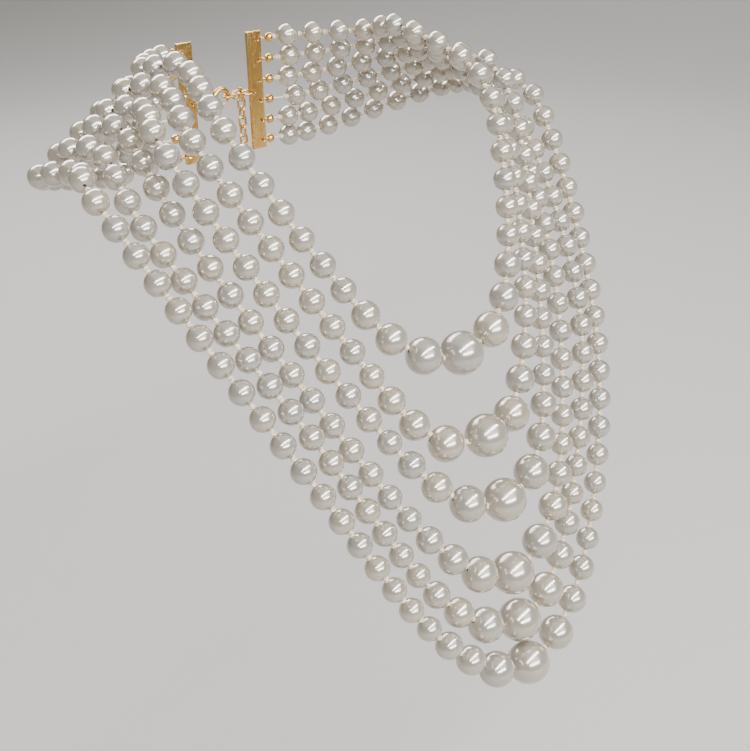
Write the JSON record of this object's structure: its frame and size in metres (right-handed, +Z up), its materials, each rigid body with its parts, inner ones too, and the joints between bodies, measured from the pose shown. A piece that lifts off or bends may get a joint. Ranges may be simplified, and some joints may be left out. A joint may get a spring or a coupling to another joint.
{
  "type": "pearl necklace",
  "caption": "Graduated knotted pearl strands worn one below another, joined to drilled end bars with a lobster clasp, catch links and an extender chain with a drop pearl.",
  "frame": {"origin": "middle of the neck, level with the shoulders where the strands turn to the back", "axes": "+Z up, the wearer faces -Y, the wearer's left is +X"},
  "size_m": [0.189, 0.1792, 0.1973],
  "materials": {
    "pearl": "glossy nacre coating",
    "gold_plate": "polished gold plate",
    "spring_steel": "drawn wire"
  },
  "bodies": {
    "necklace_back": {"strand_1_back_left": "pearl", "bead_tip_left_1": "gold_plate", "strand_1_back_right": "pearl", "bead_tip_right_1": "gold_plate", "strand_2_back_left": "pearl", "bead_tip_left_2": "gold_plate", "strand_2_back_right": "pearl", "bead_tip_right_2": "gold_plate", "strand_3_back_left": "pearl", "bead_tip_left_3": "gold_plate", "strand_3_back_right": "pearl", "bead_tip_right_3": "gold_plate", "strand_4_back_left": "pearl", "bead_tip_left_4": "gold_plate", "strand_4_back_right": "pearl", "bead_tip_right_4": "gold_plate", "strand_5_back_left": "pearl", "bead_tip_left_5": "gold_plate", "strand_5_back_right": "pearl", "bead_tip_right_5": "gold_plate", "strand_6_back_left": "pearl", "bead_tip_left_6": "gold_plate", "strand_6_back_right": "pearl", "bead_tip_right_6": "gold_plate", "end_bar_left": "gold_plate", "end_bar_right": "gold_plate", "extender_ring": "gold_plate", "catch_link_1": "gold_plate", "catch_link_2": "gold_plate"},
    "strand_1_loop": {"strand_1_front": "pearl"},
    "strand_1_middle": {"strand_1_centre_pearl": "pearl"},
    "strand_2_loop": {"strand_2_front": "pearl"},
    "strand_2_middle": {"strand_2_centre_pearl": "pearl"},
    "strand_3_loop": {"strand_3_front": "pearl"},
    "strand_3_middle": {"strand_3_centre_pearl": "pearl"},
    "strand_4_loop": {"strand_4_front": "pearl"},
    "strand_4_middle": {"strand_4_centre_pearl": "pearl"},
    "strand_5_loop": {"strand_5_front": "pearl"},
    "strand_5_middle": {"strand_5_centre_pearl": "pearl"},
    "strand_6_loop": {"strand_6_front": "pearl"},
    "strand_6_middle": {"strand_6_centre_pearl": "pearl"},
    "clasp": {"clasp_ring": "gold_plate", "clasp_body": "gold_plate", "clasp_pin": "spring_steel"},
    "trigger": {"clasp_trigger": "gold_plate"},
    "chain_link_1": {"extender_link_1": "gold_plate"},
    "chain_link_2": {"extender_link_2": "gold_plate"},
    "chain_link_3": {"extender_link_3": "gold_plate"},
    "chain_link_4": {"extender_link_4": "gold_plate"},
    "chain_link_5": {"extender_link_5": "gold_plate"},
    "chain_link_6": {"extender_link_6": "gold_plate"},
    "drop": {"drop_pin": "gold_plate", "drop_pearl": "pearl"}
  },
  "joints": [
    {"name": "strand_1_lift", "type": "hinge", "parent": "necklace_back", "child": "strand_1_loop", "pos_m": [0, -0.01535, 0.00352], "axis": [-1, 0, 0], "range_deg": [0, 45]},
    {"name": "strand_1_pearl_spin", "type": "hinge", "parent": "strand_1_loop", "child": "strand_1_middle", "pos_m": [0, -0.076, -0.075], "axis": [1, 0, 0], "continuous": true},
    {"name": "strand_2_lift", "type": "hinge", "parent": "necklace_back", "child": "strand_2_loop", "pos_m": [0, -0.0182, -0.00379], "axis": [-1, 0, 0], "range_deg": [0, 45]},
    {"name": "strand_2_pearl_spin", "type": "hinge", "parent": "strand_2_loop", "child": "strand_2_middle", "pos_m": [0, -0.088, -0.1], "axis": [1, 0, 0], "continuous": true},
    {"name": "strand_3_lift", "type": "hinge", "parent": "necklace_back", "child": "strand_3_loop", "pos_m": [0, -0.01095, -0.00221], "axis": [-1, 0, 0], "range_deg": [0, 45]},
    {"name": "strand_3_pearl_spin", "type": "hinge", "parent": "strand_3_loop", "child": "strand_3_middle", "pos_m": [0, -0.097, -0.12], "axis": [1, 0, 0], "continuous": true},
    {"name": "strand_4_lift", "type": "hinge", "parent": "necklace_back", "child": "strand_4_loop", "pos_m": [0, -0.05458, -0.05722], "axis": [-1, 0, 0], "range_deg": [0, 45]},
    {"name": "strand_4_pearl_spin", "type": "hinge", "parent": "strand_4_loop", "child": "strand_4_middle", "pos_m": [0, -0.102, -0.146], "axis": [1, 0, 0], "continuous": true},
    {"name": "strand_5_lift", "type": "hinge", "parent": "necklace_back", "child": "strand_5_loop", "pos_m": [0, -0.00423, -0.0144], "axis": [-1, 0, 0], "range_deg": [0, 45]},
    {"name": "strand_5_pearl_spin", "type": "hinge", "parent": "strand_5_loop", "child": "strand_5_middle", "pos_m": [0, -0.106, -0.163], "axis": [1, 0, 0], "continuous": true},
    {"name": "strand_6_lift", "type": "hinge", "parent": "necklace_back", "child": "strand_6_loop", "pos_m": [0, -0.00522, -0.01512], "axis": [-1, 0, 0], "range_deg": [0, 45]},
    {"name": "strand_6_pearl_spin", "type": "hinge", "parent": "strand_6_loop", "child": "strand_6_middle", "pos_m": [0, -0.111, -0.178], "axis": [1, 0, 0], "continuous": true},
    {"name": "clasp_swing", "type": "hinge", "parent": "necklace_back", "child": "clasp", "pos_m": [-0.01335, 0.053, -0.017], "axis": [0, 1, 0], "range_deg": [-2, 2]},
    {"name": "trigger_press", "type": "hinge", "parent": "clasp", "child": "trigger", "pos_m": [-0.0039, 0.053, -0.0196], "axis": [0, 1, 0], "range_deg": [-18, 0], "stiffness_Nm_per_rad": 0.002, "springref_deg": 5.73},
    {"name": "chain_1_swing", "type": "hinge", "parent": "necklace_back", "child": "chain_link_1", "pos_m": [0.0099, 0.05597, -0.01695], "axis": [1, 0, 0], "range_deg": [0, 40]},
    {"name": "chain_2_swing", "type": "hinge", "parent": "chain_link_1", "child": "chain_link_2", "pos_m": [0.0099, 0.05597, -0.0204], "axis": [0, 1, 0], "range_deg": [-8, 8]},
    {"name": "chain_3_swing", "type": "hinge", "parent": "chain_link_2", "child": "chain_link_3", "pos_m": [0.0099, 0.05597, -0.02385], "axis": [1, 0, 0], "range_deg": [0, 15]},
    {"name": "chain_4_swing", "type": "hinge", "parent": "chain_link_3", "child": "chain_link_4", "pos_m": [0.0099, 0.05597, -0.0273], "axis": [0, 1, 0], "range_deg": [-8, 8]},
    {"name": "chain_5_swing", "type": "hinge", "parent": "chain_link_4", "child": "chain_link_5", "pos_m": [0.0099, 0.05597, -0.03075], "axis": [1, 0, 0], "range_deg": [0, 15]},
    {"name": "chain_6_swing", "type": "hinge", "parent": "chain_link_5", "child": "chain_link_6", "pos_m": [0.0099, 0.05597, -0.0342], "axis": [0, 1, 0], "range_deg": [-8, 8]},
    {"name": "drop_swing", "type": "hinge", "parent": "chain_link_6", "child": "drop", "pos_m": [0.0099, 0.05597, -0.03765], "axis": [1, 0, 0], "range_deg": [0, 15]}
  ]
}
